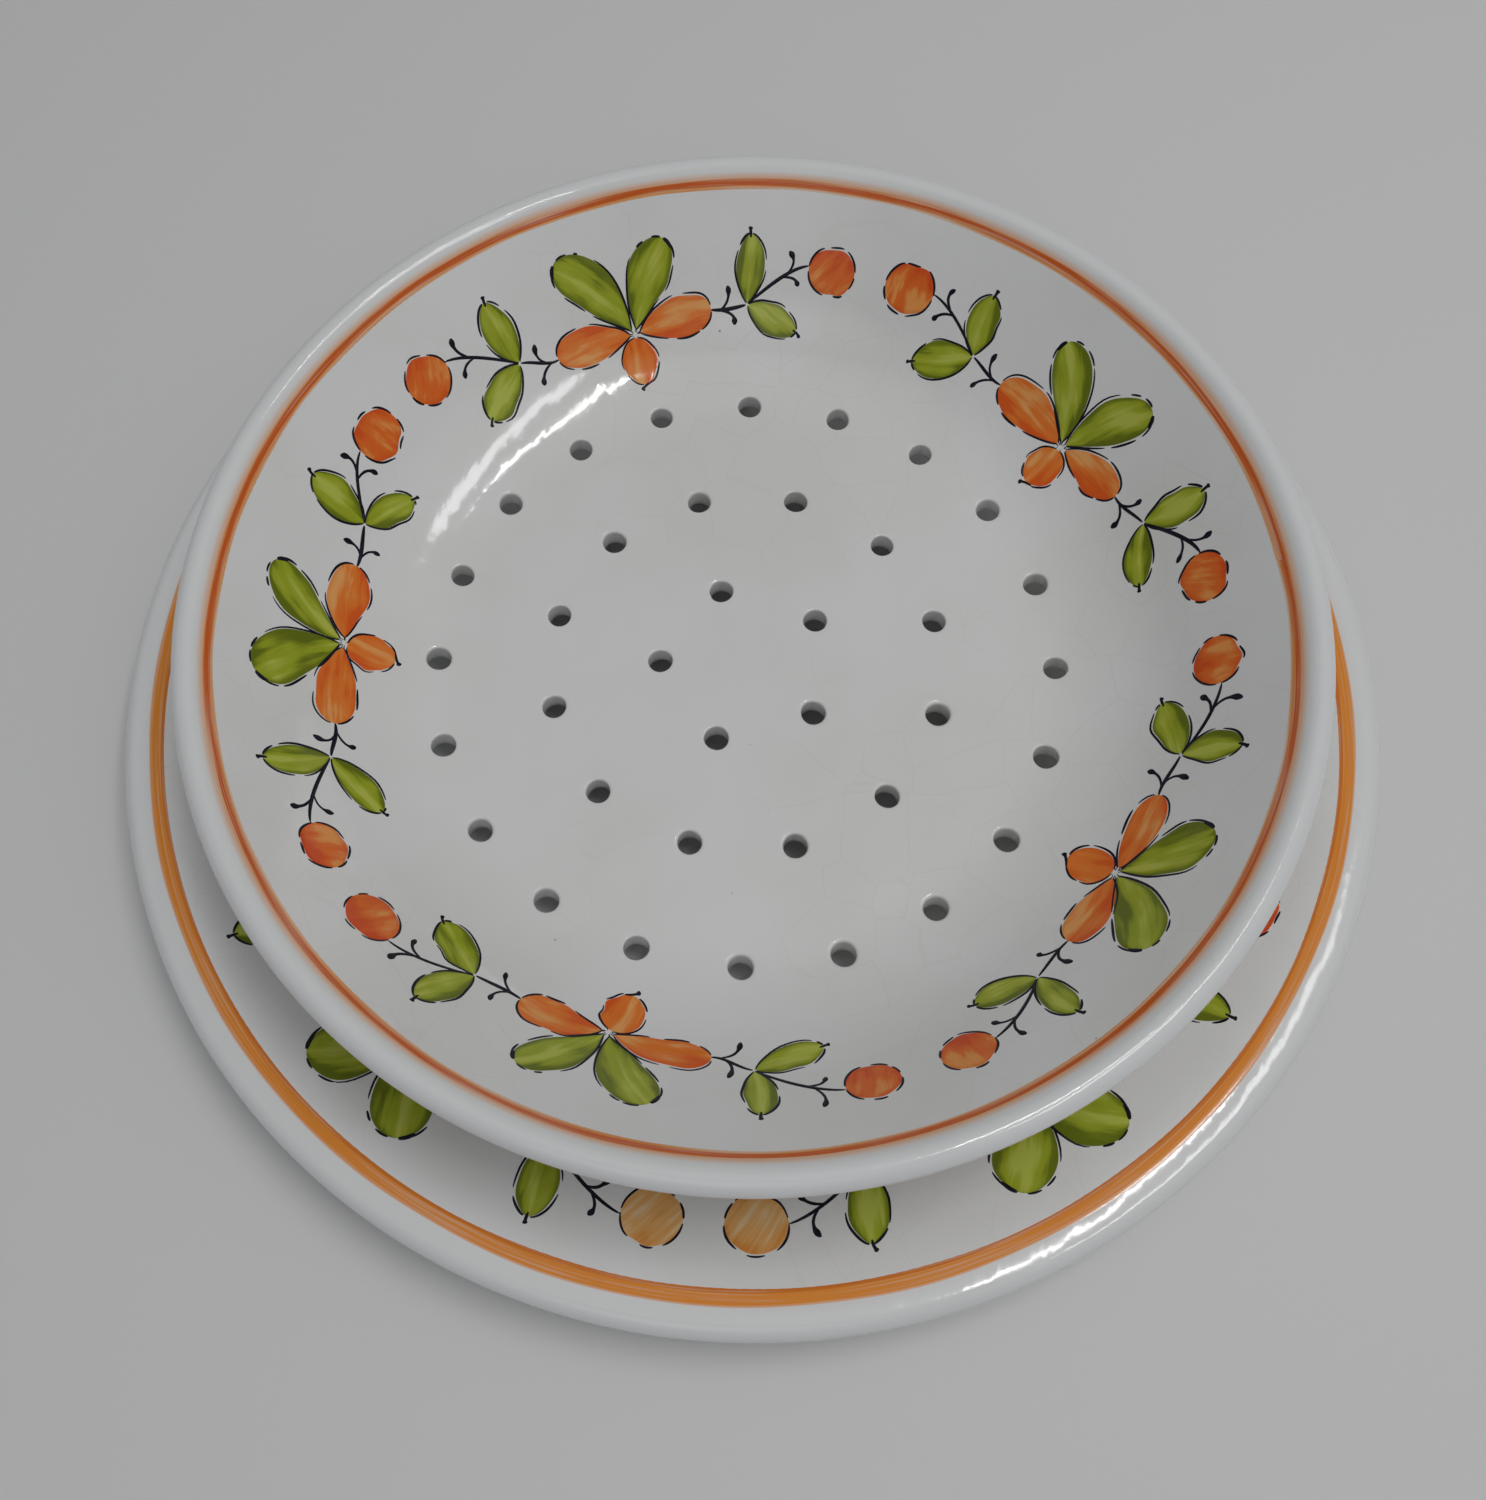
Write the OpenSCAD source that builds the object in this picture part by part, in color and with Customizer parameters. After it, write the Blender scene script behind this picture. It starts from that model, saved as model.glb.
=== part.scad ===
// Berry colander: a pierced bowl that stands on three small feet in a drip plate.
// Glazed earthenware. The bowl lifts straight off the plate.
// Origin: the middle of the plate's foot ring, on the table. Z is up, sizes are millimetres.

/* [Colander bowl] */
// Diameter over the lip
bowl_d = 250; // [200:5:310]
// Inside depth, from the top of the lip down to the floor
bowl_depth = 36.6; // [30:0.2:50]
// Thickness of the floor and the wall
bowl_t = 5.5; // [4.5:0.1:6.4]
// Radius of the round lip
bowl_lip_r = 3.3; // [2.8:0.1:4.5]
// Slope of the straight wall, in degrees from level
bowl_slope = 48; // [35:1:60]
// Inside radius of the bend from the floor into the wall
bowl_bend_r = 42; // [20:1:50]

/* [Drain holes] */
// Bore of each hole
hole_d = 5.4; // [4:0.1:7]
// Rounding of each hole's mouth, where the glaze softens it
hole_ease_r = 0.8; // [0.3:0.1:1.2]
// How far the outer ring of holes stands beyond the flat of the floor
hole_reach = 5.5; // [0:0.5:8]
// Holes in the outer ring
outer_count = 20; // [12:1:26]
// Holes in the middle ring
middle_count = 12; // [6:1:16]
// Holes in the inner ring
inner_count = 5; // [3:1:8]
// Turn of the outer ring, in degrees
outer_turn = 13; // [0:1:17]
// Turn of the middle ring, in degrees
middle_turn = 10; // [0:1:29]
// Turn of the inner ring, in degrees
inner_turn = 30; // [0:1:71]

/* [Colander feet] */
// Clear height under the colander's floor
foot_h = 7.7; // [5:0.1:14]
// Diameter of each foot at its base, before its edge is rounded
foot_d = 15.5; // [12:0.5:20]
// Rounding of the lower edge of each foot
foot_edge_r = 2.6; // [1:0.1:4]
// Draft of each foot's side, in degrees
foot_draft = 6; // [0:1:12]
// Gap between the outer holes and the feet
foot_gap = 3; // [1:0.5:6]

/* [Drip plate] */
// Diameter over the lip
plate_d = 300; // [260:5:360]
// Inside depth, from the top of the lip down to the well
plate_depth = 12.6; // [9:0.2:20]
// Thickness of the well and the rim
plate_t = 6; // [4.5:0.1:6.8]
// Radius of the round lip
plate_lip_r = 3.5; // [3:0.1:5]
// Room between the colander's feet and the bend of the well
well_gap = 7.5; // [2:0.5:12]
// Inside radius of the bend from the well into the rim
plate_bend_r = 40; // [15:1:50]
// Radius over which the rim rounds off to level, up to the lip
plate_shoulder_r = 30; // [12:1:40]

/* [Foot ring of the plate] */
// Height of the foot ring
ring_h = 4; // [2.5:0.1:7]
// Width of the foot ring
ring_w = 6; // [4:0.5:9]
// Rounding of the foot ring's two lower edges
ring_edge_r = 1.6; // [0.5:0.1:2]
// Rounding where the foot ring grows out of the well
ring_root_r = 1.5; // [0.5:0.1:1.9]
// How far the foot ring stands in from the bend of the well
ring_inset = 9; // [3:0.5:20]

/* [Hidden] */
$fn = 180;

// Where each foot stands, as an angle from +X
back_foot_at = 90;
left_foot_at = 210;
right_foot_at = 330;

// How far a cutter runs past what it cuts
overrun = 2;

// Ring radii as shares of the outer ring's radius
ring_shares = [1, 0.637, 0.276];
ring_counts = [outer_count, middle_count, inner_count];
ring_turns = [outer_turn, middle_turn, inner_turn];

// Share of the largest pair of bends that fits in the plate's rim
bend_fit_share = 0.96;

// Largest turn between two points of an outline, in degrees, on wide bends and on small ones
bend_step = 4;
edge_step = 12;

// Each lip is at least as round as its wall is thick
bowl_round_r = max(bowl_lip_r, bowl_t / 2);
plate_round_r = max(plate_lip_r, plate_t / 2);

// Heights above the table
well_z = ring_h + plate_t;
plate_top_z = well_z + plate_depth;
bowl_floor_z = well_z + foot_h + bowl_t;
bowl_top_z = bowl_floor_z + bowl_depth;

// Directions in a section: at an angle, and square to a slope on its outer side
function along(a) = [cos(a), sin(a)];
function outward(slope) = along(slope - 90);

// Points of an arc about c, from one angle to another
function arc(c, r, from, to, step) =
    let (n = ceil(abs(to - from) / step)) [for (i = [0 : n]) c + r * along(from + (to - from) * i / n)];

// The same for a lip, with a point at its outermost place, straight out from c
function lip_arc(c, r, from, to) =
    let (n = ceil(to / edge_step))
    concat(arc(c, r, from, 0, edge_step), [for (i = [1 : n]) c + r * along(to * i / n)]);

function reversed(points) = [for (i = [len(points) - 1 : -1 : 0]) points[i]];

// Angle at which a line of this slope, at distance d outside c, meets the circle of radius r below c
function meets(slope, d, r) = slope - 90 - acos(d / r);

// Bowl section: lip, straight wall and bend, each tangent to the next on the inside
bowl_lip_c = [bowl_d / 2 - bowl_round_r, bowl_top_z - bowl_round_r];
bowl_wall_top = bowl_lip_c - bowl_round_r * outward(bowl_slope);
bowl_bend_z = bowl_floor_z + bowl_bend_r;
bowl_wall_rise = bowl_wall_top[1] - (bowl_bend_z - bowl_bend_r * cos(bowl_slope));
bowl_floor_r = bowl_wall_top[0] - bowl_wall_rise / tan(bowl_slope) - bowl_bend_r * sin(bowl_slope);
bowl_bend_c = [bowl_floor_r, bowl_bend_z];
bowl_inside = concat([[0, bowl_floor_z]], arc(bowl_bend_c, bowl_bend_r, -90, bowl_slope - 90, bend_step));
bowl_outside = concat([[0, bowl_floor_z - bowl_t]],
    arc(bowl_bend_c, bowl_bend_r + bowl_t, -90, bowl_slope - 90, bend_step));
bowl_lip_start = meets(bowl_slope, bowl_t - bowl_round_r, bowl_round_r);
bowl_lip = lip_arc(bowl_lip_c, bowl_round_r, bowl_lip_start, 90 + bowl_slope);

// Hole rings
hole_r = hole_d / 2;
outer_ring_r = bowl_floor_r + hole_reach;

// Feet: outside the outer holes, on the flat of the plate's well
foot_r = foot_d / 2;
foot_circle_r = outer_ring_r + hole_r + foot_gap + foot_r;

// Plate section: the straight rim is the line that touches both of its bends
well_r = foot_circle_r + foot_r + well_gap;
plate_lip_c = [plate_d / 2 - plate_round_r, plate_top_z - plate_round_r];
rim_run = plate_lip_c[0] - well_r;
bend_sum_limit = (rim_run * rim_run + plate_depth * plate_depth) / (2 * plate_depth);
bend_scale = min(1, bend_fit_share * bend_sum_limit / (plate_bend_r + plate_shoulder_r));
rim_bend_r = plate_bend_r * bend_scale;
rim_shoulder_r = plate_shoulder_r * bend_scale;
rim_bend_c = [well_r, well_z + rim_bend_r];
rim_shoulder_c = [plate_lip_c[0], plate_top_z - rim_shoulder_r];
rim_drop = rim_bend_c[1] - rim_shoulder_c[1];
rim_slope = asin((rim_bend_r + rim_shoulder_r) / norm([rim_run, rim_drop])) - atan2(rim_drop, rim_run);
rim_inside = concat(arc(rim_shoulder_c, rim_shoulder_r, 90, 90 + rim_slope, bend_step),
    arc(rim_bend_c, rim_bend_r, rim_slope - 90, -90, bend_step));

// Under the rim the wall keeps its thickness round the shoulder, up to where it meets the lip
under_r = rim_shoulder_r - plate_t;
lip_rise = rim_shoulder_r - plate_round_r;
under_turn = acos((pow(lip_rise, 2) + pow(under_r, 2) - pow(plate_round_r, 2)) / (2 * lip_rise * under_r));
under_end = rim_shoulder_c + under_r * along(90 + under_turn) - plate_lip_c;
round_under = under_r > 0 && under_turn < rim_slope;
rim_outer_gap = (rim_shoulder_c - plate_lip_c) * outward(rim_slope) - under_r;
lip_start = round_under ? atan2(under_end[1], under_end[0]) : meets(rim_slope, rim_outer_gap, plate_round_r);
rim_outside = concat(arc(rim_bend_c, rim_bend_r + plate_t, -90, rim_slope - 90, bend_step),
    round_under ? arc(rim_shoulder_c, under_r, 90 + rim_slope, 90 + under_turn, bend_step) : []);
plate_lip = lip_arc(plate_lip_c, plate_round_r, lip_start, 90);

// Foot ring section, from the inside out: both lower edges and both roots are rounded
ring_out_r = well_r - ring_inset;
ring_in_r = ring_out_r - ring_w;
ring_side = concat(
    arc([ring_in_r - ring_root_r, ring_h - ring_root_r], ring_root_r, 90, 0, edge_step),
    arc([ring_in_r + ring_edge_r, ring_edge_r], ring_edge_r, 180, 270, edge_step),
    arc([ring_out_r - ring_edge_r, ring_edge_r], ring_edge_r, 270, 360, edge_step),
    arc([ring_out_r + ring_root_r, ring_h - ring_root_r], ring_root_r, 180, 90, edge_step));

// Height and slope of the bowl's inner surface at radius r, on the floor and the bend
function bowl_z(r) = bowl_bend_z - sqrt(pow(bowl_bend_r, 2) - pow(max(r - bowl_floor_r, 0), 2));
function bowl_tilt(r) = asin(max(r - bowl_floor_r, 0) / bowl_bend_r);

// A punched hole, square to the surface it opens in: a straight bore and a rounded mouth
module drain_hole() {
    mouth_r = hole_r + hole_ease_r;
    bore_depth = bowl_t + overrun;
    rotate_extrude($fn = 48) difference() {
        union() {
            translate([0, -bore_depth]) square([hole_r, bore_depth]);
            translate([0, -hole_ease_r]) square([mouth_r, hole_ease_r + overrun]);
        }
        translate([mouth_r, -hole_ease_r]) circle(r = hole_ease_r);
    }
}

// The three rings of drain holes, in the flat floor and the start of the bend
module drain_holes() {
    for (ring = [0 : len(ring_shares) - 1], k = [0 : ring_counts[ring] - 1]) {
        r = outer_ring_r * ring_shares[ring];
        rotate([0, 0, ring_turns[ring] + k * 360 / ring_counts[ring]])
            translate([r, 0, bowl_z(r)]) rotate([0, -bowl_tilt(r), 0]) drain_hole();
    }
}

// The pierced bowl, formed on one centre and punched while the clay is leather-hard
module colander_bowl() {
    color("ivory") difference() {
        rotate_extrude() polygon(concat(bowl_outside, bowl_lip, reversed(bowl_inside)));
        drain_holes();
    }
}

// All the space inside the bowl's outer surface, which shapes what is stuck on under it
module bowl_body() {
    cover_z = bowl_top_z + overrun;
    rotate_extrude() polygon(concat(bowl_outside, [bowl_lip[0], [bowl_lip[0][0], cover_z], [0, cover_z]]));
}

// A foot: a tapered button with a round lower edge, pressed on under the bend of the bowl
module colander_foot(at) {
    edge = arc([foot_r - foot_edge_r, foot_edge_r], foot_edge_r, -90, -foot_draft, edge_step);
    side = edge[len(edge) - 1];
    height = bowl_lip_c[1] - well_z;
    side_top_r = side[0] + (height - side[1]) * tan(foot_draft);
    color("linen") difference() {
        rotate([0, 0, at]) translate([foot_circle_r, 0, well_z]) rotate_extrude($fn = 96)
            polygon(concat([[0, 0]], edge, [[side_top_r, height], [0, height]]));
        bowl_body();
    }
}

module back_foot() {
    colander_foot(back_foot_at);
}

module left_foot() {
    colander_foot(left_foot_at);
}

module right_foot() {
    colander_foot(right_foot_at);
}

// The drip plate: a flat well, a rim that rises and rounds off to the lip, and a turned foot ring
module drip_plate() {
    color("antiquewhite") rotate_extrude()
        polygon(concat([[0, ring_h]], ring_side, rim_outside, plate_lip, rim_inside, [[0, well_z]]));
}

drip_plate();
colander_bowl();
back_foot();
left_foot();
right_foot();
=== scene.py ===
import math

import bpy
import numpy as np
from mathutils import Matrix


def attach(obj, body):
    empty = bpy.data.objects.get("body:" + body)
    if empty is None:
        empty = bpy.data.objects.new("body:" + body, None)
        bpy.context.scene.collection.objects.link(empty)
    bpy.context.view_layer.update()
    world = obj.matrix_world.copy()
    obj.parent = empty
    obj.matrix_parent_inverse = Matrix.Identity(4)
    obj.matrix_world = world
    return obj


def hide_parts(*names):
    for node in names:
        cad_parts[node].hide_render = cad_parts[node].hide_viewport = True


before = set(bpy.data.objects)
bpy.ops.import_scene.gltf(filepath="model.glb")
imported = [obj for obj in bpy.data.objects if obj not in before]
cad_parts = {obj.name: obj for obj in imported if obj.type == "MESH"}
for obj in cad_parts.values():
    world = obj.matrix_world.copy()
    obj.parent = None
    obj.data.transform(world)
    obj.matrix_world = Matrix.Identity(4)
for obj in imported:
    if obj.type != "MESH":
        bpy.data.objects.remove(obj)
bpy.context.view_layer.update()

# Drip plate. One disc of white earthenware, turned on a wheel: a flat well, a rim that rises and
# rounds over to a nearly level shoulder and a fat round lip, and a foot ring trimmed underneath.
# It is glazed all over but for the ring, which is wiped bare so that it doesn't stick in the kiln.
MM = 0.001
plate_r = 150 * MM
plate_wall = 6 * MM
plate_lip_r = 3.5 * MM
well_z = 10 * MM
well_r = 102.78 * MM
plate_depth = 12.6 * MM
plate_bend_r = 40 * MM
plate_shoulder_r = 30 * MM
ring_h = 4 * MM
ring_out = 93.78 * MM
ring_wide = 6 * MM
ring_edge = 1.6 * MM
ring_root = 1.5 * MM
ring_wiped = 1.1 * MM


def way(degrees):
    """The direction (r, z) at an angle that is 0 outwards and 90 straight up."""
    return np.array([math.cos(math.radians(degrees)), math.sin(math.radians(degrees))])


def bend(centre, radius, start, stop, step):
    """Points (r, z) about step apart on a circle round centre, from angle start to stop."""
    count = max(2, int(math.ceil(abs(math.radians(stop - start)) * radius / step)) + 1)
    turn = np.radians(np.linspace(start, stop, count))
    return np.stack([centre[0] + radius * np.cos(turn), centre[1] + radius * np.sin(turn)], 1)


def straight(start, stop, step):
    """Points (r, z) on the line from start to stop, about step apart."""
    start, stop = np.asarray(start, float), np.asarray(stop, float)
    count = max(2, int(math.ceil(np.linalg.norm(stop - start) / step)) + 1)
    return start + np.linspace(0, 1, count)[:, None] * (stop - start)


def joined(*runs):
    """Runs of points end to end, with the point that two runs share kept once."""
    line = np.concatenate(runs)
    apart = np.linalg.norm(np.diff(line, axis=0), axis=1) > 1e-3 * MM
    return line[np.r_[True, apart]]


def at_angle(r, turn, z):
    """Points at radius r, an angle round the axis, and height z."""
    return np.stack(np.broadcast_arrays(r * np.cos(turn), r * np.sin(turn), z), -1)


def out_of_true(points, swing, lean):
    """The small swing of a piece thrown by hand. A point moves in by waves of two and three lobes, in
    proportion to its radius, and down by waves of two and five lobes, in proportion to its square."""
    x, y, z = np.moveaxis(points, -1, 0)
    turn = np.arctan2(y, x)
    share = np.hypot(x, y) / plate_r
    oval = 0.5 + 0.35 * np.cos(2 * turn + lean) + 0.15 * np.cos(3 * turn - 2 * lean)
    sag = 0.5 + 0.35 * np.cos(2 * turn - 1.7 * lean) + 0.15 * np.cos(5 * turn + lean)
    inward = 1 - swing / plate_r * oval
    return np.stack([x * inward, y * inward, z - swing * share**2 * sag], -1)


def ring_faces(points, turned_over=False):
    """Faces between neighbouring rings of points, an array (..., rings, points in a ring, 3). Each runs
    from a ring to the next one and back by the next points round, or the other way, turned over."""
    index = np.arange(points[..., 0].size).reshape(-1, *points.shape[-3:-1])
    after = np.roll(index, -1, axis=2)
    faces = np.stack([index[:, :-1], index[:, 1:], after[:, 1:], after[:, :-1]], -1).reshape(-1, 4)
    return faces[:, [0, 3, 2, 1]] if turned_over else faces


def turned(section, sides=360):
    """Points and faces of a section of (r, z) points turned about the axis. The faces look up where the
    section runs outwards."""
    turn = np.arange(sides) * 2 * math.pi / sides
    points = at_angle(section[:, :1], turn, section[:, 1:])
    return points.reshape(-1, 3), ring_faces(points)


def placed(name, data, place=(0, 0, 0), axes=np.eye(3)):
    """An object of the scene at place, whose own x, y and z run along axes."""
    thing = bpy.data.objects.new(name, data)
    bpy.context.scene.collection.objects.link(thing)
    thing.matrix_world = Matrix.Translation(place) @ Matrix(np.transpose(axes).tolist()).to_4x4()
    return thing


def mesh_piece(name, points, faces, materials):
    """A smooth mesh object of points (N, 3) and faces (M, 4). Points that lie on each other become one,
    and a face with two such corners becomes a triangle. A face keeps its order round, which points its
    normal outwards. Also returns the row of points that each point of the mesh came from."""
    cells = np.round(points / (0.1e-3 * MM))
    _, rows, same = np.unique(cells, axis=0, return_index=True, return_inverse=True)
    faces = same.ravel()[faces]
    shut = faces == np.roll(faces, -1, axis=1)
    triangles = [np.delete(faces[shut[:, corner]], corner, axis=1) for corner in range(4)]
    quads = faces[~shut.any(axis=1)]
    loops = np.concatenate([block.ravel() for block in (*triangles, quads)])
    corners = np.repeat([3, 4], [sum(map(len, triangles)), len(quads)])
    mesh = bpy.data.meshes.new(name)
    mesh.vertices.add(len(rows))
    mesh.vertices.foreach_set("co", points[rows].astype(np.float32).ravel())
    mesh.loops.add(len(loops))
    mesh.loops.foreach_set("vertex_index", loops.astype(np.int32))
    mesh.polygons.add(len(corners))
    mesh.polygons.foreach_set("loop_start", (np.cumsum(corners) - corners).astype(np.int32))
    mesh.polygons.foreach_set("use_smooth", np.ones(len(corners), bool))
    mesh.update(calc_edges=True)
    mesh.validate()
    for material in materials:
        mesh.materials.append(material)
    return placed(name, mesh), rows


def wipe_bare(piece, level):
    """The faces whose centres lie under level take the piece's second material."""
    centres = np.zeros((len(piece.data.polygons), 3))
    piece.data.polygons.foreach_get("center", centres.ravel())
    piece.data.polygons.foreach_set("material_index", (centres[:, 2] < level).astype(np.int32))


shoulder_c = np.array([plate_r - plate_lip_r, well_z + plate_depth - plate_shoulder_r])
plate_lip_c = np.array([plate_r - plate_lip_r, well_z + plate_depth - plate_lip_r])
well_bend_c = np.array([well_r, well_z + plate_bend_r])
centre_run, centre_drop = shoulder_c[0] - well_bend_c[0], well_bend_c[1] - shoulder_c[1]
rim_slope = math.degrees(math.asin((plate_bend_r + plate_shoulder_r) / math.hypot(centre_run, centre_drop))
                         - math.atan2(centre_drop, centre_run))
under_shoulder_r = plate_shoulder_r - plate_wall
lip_reach = plate_shoulder_r - plate_lip_r
under_turn = math.degrees(math.acos((lip_reach**2 + under_shoulder_r**2 - plate_lip_r**2)
                                    / (2 * lip_reach * under_shoulder_r)))
under_end = shoulder_c + under_shoulder_r * way(90 + under_turn) - plate_lip_c
ring_in = ring_out - ring_wide
plate_face = joined(
    straight((0, well_z), (well_r, well_z), 3 * MM),
    bend(well_bend_c, plate_bend_r, -90, rim_slope - 90, 1.2 * MM),
    straight(well_bend_c + plate_bend_r * way(rim_slope - 90),
             shoulder_c + plate_shoulder_r * way(rim_slope + 90), 1.5 * MM),
    bend(shoulder_c, plate_shoulder_r, 90 + rim_slope, 90, 1.2 * MM),
    bend(plate_lip_c, plate_lip_r, 90, 0, 0.4 * MM))
plate_back = joined(
    bend(plate_lip_c, plate_lip_r, 0, math.degrees(math.atan2(under_end[1], under_end[0])), 0.5 * MM),
    bend(shoulder_c, under_shoulder_r, 90 + under_turn, 90 + rim_slope, 1.5 * MM),
    bend(well_bend_c, plate_bend_r + plate_wall, rim_slope - 90, -90, 2 * MM),
    bend((ring_out + ring_root, ring_h - ring_root), ring_root, 90, 180, 0.4 * MM),
    bend((ring_out - ring_edge, ring_edge), ring_edge, 0, -90, 0.4 * MM),
    bend((ring_in + ring_edge, ring_edge), ring_edge, -90, -180, 0.4 * MM),
    bend((ring_in - ring_root, ring_h - ring_root), ring_root, 0, 90, 0.4 * MM),
    straight((ring_in - ring_root, ring_h), (0, ring_h), 4 * MM))


class Wire:
    """What a shader node puts out. Sums, products and the like of wires are Math nodes."""

    def __init__(self, socket):
        self.socket = socket
        self.tree = socket.id_data

    def beside(self, output):
        """Another output of the same node."""
        return Wire(self.socket.node.outputs[output])

    def __add__(self, other):
        return maths(self.tree, "ADD", self, other)

    def __sub__(self, other):
        return maths(self.tree, "SUBTRACT", self, other)

    def __mul__(self, other):
        return maths(self.tree, "MULTIPLY", self, other)

    def __truediv__(self, other):
        return maths(self.tree, "DIVIDE", self, other)

    def __abs__(self):
        return maths(self.tree, "ABSOLUTE", self)


def node(tree, kind, links=(), output=0, **settings):
    """One output of a new shader node. links are pairs of an input and a wire or a value for it."""
    made = tree.nodes.new("ShaderNode" + kind)
    for key, value in settings.items():
        setattr(made, key, value)
    for key, source in links:
        if isinstance(source, Wire):
            tree.links.new(source.socket, made.inputs[key])
        else:
            made.inputs[key].default_value = source
    return Wire(made.outputs[output])


def maths(tree, operation, *sources, clamp=False):
    """A Math node of wires and numbers."""
    return node(tree, "Math", enumerate(sources), operation=operation, use_clamp=clamp)


def noise(at, scale, detail, roughness=0.5, output=0):
    """Noise of so many waves to each unit of at."""
    links = [("Vector", at), ("Scale", scale), ("Detail", detail), ("Roughness", roughness)]
    return node(at.tree, "TexNoise", links, output)


def steps(source, low, high, bottom=0.0, top=1.0):
    """A smooth step from bottom to top as source goes from low to high."""
    links = [(0, source), (1, low), (2, high), (3, bottom), (4, top)]
    return node(source.tree, "MapRange", links, interpolation_type="SMOOTHSTEP")


def laid_over(below, above, share, how="MIX"):
    """The colour below with share of the colour above laid over it."""
    return node(below.tree, "Mix", [(0, share), (6, below), (7, above)], 2, data_type="RGBA", blend_type=how)


def bumped(height, distance, strength=1.0):
    """The normal of a surface that height lifts by distance."""
    return node(height.tree, "Bump", [("Strength", strength), ("Distance", distance), ("Height", height)])


def new_group(name, colours, numbers=()):
    """A new shader node group, and its inputs as wires by name."""
    tree = bpy.data.node_groups.new(name, "ShaderNodeTree")
    for labels, kind in ((colours, "NodeSocketColor"), (numbers, "NodeSocketFloat")):
        for label in labels:
            tree.interface.new_socket(label, in_out="INPUT", socket_type=kind)
    given = tree.nodes.new("NodeGroupInput").outputs
    return tree, {label: Wire(given[label]) for label in (*colours, *numbers)}


def finished_group(tree, **outputs):
    """The group, with a named output for each of these wires."""
    for label, wire in outputs.items():
        tree.interface.new_socket(label, in_out="OUTPUT", socket_type=wire.socket.bl_idname)
    end = tree.nodes.new("NodeGroupOutput")
    for label, wire in outputs.items():
        tree.links.new(wire.socket, end.inputs[label])
    return tree


def new_material(name, settings):
    """A material of one Principled BSDF with these settings, and that shader."""
    material = bpy.data.materials.new(name)
    material.use_nodes = True
    shader = material.node_tree.nodes["Principled BSDF"]
    for key, value in settings.items():
        shader.inputs[key].default_value = value
    return material, shader


def surface(name, group, values, shine=None):
    """A material that a group colours. values are the group's inputs, and shine the shader's own."""
    material, shader = new_material(name, shine or {})
    tree = material.node_tree
    effect = tree.nodes.new("ShaderNodeGroup")
    effect.node_tree = group
    for key, value in values.items():
        effect.inputs[key].default_value = value
    for label, target in (("Color", "Base Color"), ("Roughness", "Roughness"), ("Normal", "Normal")):
        if label in effect.outputs:
            tree.links.new(effect.outputs[label], shader.inputs[target])
    return material


def glaze_group():
    """Fired tin-white glaze. Broad clouds of warmer and cooler white, a paler and thicker coat on the
    lip, sparse specks of iron, faint crazing in patches, and a surface that rolls a little, as thrown
    clay does, with fine orange peel. Scales are in waves to the metre."""
    tree, given = new_group("fired_glaze", ["White", "Cloud", "Lip white"],
                            ["Lip radius", "Specks", "Crazing", "Roll"])
    place = node(tree, "TexCoord", output="Object")
    clouds = noise(place, scale=22.0, detail=3.0)
    colour = laid_over(given["White"], given["Cloud"], steps(clouds, 0.35, 0.7))
    level = node(tree, "VectorMath", [(0, place), (1, (1, 1, 0))], operation="MULTIPLY")
    out = node(tree, "VectorMath", [(0, level)], "Value", operation="LENGTH")
    lip = steps(out - given["Lip radius"], -2.2 * MM, 0.6 * MM)
    colour = laid_over(colour, given["Lip white"], lip)
    bent = laid_over(place, noise(place, scale=60.0, detail=2.0, output="Color"), 0.004, "ADD")
    cracks = node(tree, "TexVoronoi", [("Vector", bent), ("Scale", 62.0)], "Distance",
                  feature="DISTANCE_TO_EDGE")
    patches = steps(noise(place, scale=18.0, detail=1.0), 0.42, 0.62)
    off_lip = maths(tree, "SUBTRACT", 1.0, lip)
    crazing = steps(cracks, 0.0, 0.016, 1.0, 0.0) * patches * given["Crazing"] * off_lip
    colour = laid_over(colour, (0.42, 0.38, 0.32, 1), crazing)
    from_dot = node(tree, "TexVoronoi", [("Vector", place), ("Scale", 150.0)], "Distance")
    chance = node(tree, "SeparateColor", [("Color", from_dot.beside("Color"))], "Red")
    dot_r = steps(chance, 0.86, 1.0) * 0.055
    dots = steps(from_dot - dot_r, -0.02, 0.0, 1.0, 0.0) * given["Specks"]
    colour = laid_over(colour, (0.16, 0.12, 0.08, 1), dots)
    smears = noise(place, scale=9.0, detail=4.0, roughness=0.6)
    rolls = noise(place, scale=70.0, detail=1.0, roughness=0.4)
    peel = noise(place, scale=420.0, detail=1.0)
    height = rolls * given["Roll"] + peel * 0.03 - dots * 0.05
    return finished_group(tree, Color=colour, Roughness=steps(smears, 0.3, 0.75, 0.055, 0.12),
                          Normal=bumped(height, MM))


def clay_group():
    """Bare fired earthenware: cream clay with soot in its hollows, and a matt, finely pitted face."""
    tree, given = new_group("bare_clay", ["Clay", "Soil"])
    place = node(tree, "TexCoord", output="Object")
    grain = noise(place, scale=900.0, detail=4.0)
    soil = steps(noise(place, scale=70.0, detail=5.0), 0.45, 0.75) * 0.5
    return finished_group(tree, Color=laid_over(given["Clay"], given["Soil"], soil),
                          Roughness=steps(grain, 0.2, 0.8, 0.75, 0.95), Normal=bumped(grain, 0.1 * MM, 0.6))


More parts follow.
